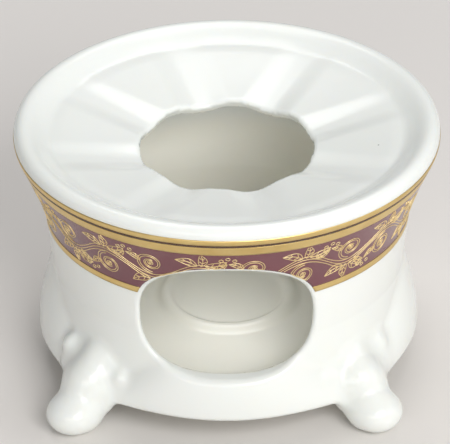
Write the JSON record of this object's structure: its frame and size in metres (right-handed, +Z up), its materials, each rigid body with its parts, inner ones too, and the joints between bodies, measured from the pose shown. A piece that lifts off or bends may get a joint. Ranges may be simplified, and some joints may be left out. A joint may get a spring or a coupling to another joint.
{
  "type": "teapot warmer",
  "caption": "White porcelain teapot warmer: footed round body with an arched window, fluted dished plate, flame hole and maroon and gold band.",
  "frame": {"origin": "on the table, at the middle of the bounding box, which is the axis of the rim", "axes": "+Z up from the table, -Y out of the front window, +X to the right of someone who looks in at the window"},
  "size_m": [0.1502, 0.1502, 0.094],
  "materials": {
    "porcelain_body": "white glazed porcelain",
    "maroon_band": "fired maroon overglaze colour",
    "dark_line": "fired dark brown overglaze line",
    "gold_lines": "fired gold lustre lines",
    "gold_frieze": "fired gold ornament"
  },
  "bodies": {
    "root": {"porcelain_body": "porcelain_body", "maroon_band": "maroon_band", "dark_line": "dark_line", "gold_lines": "gold_lines", "gold_frieze": "gold_frieze"}
  },
  "joints": []
}
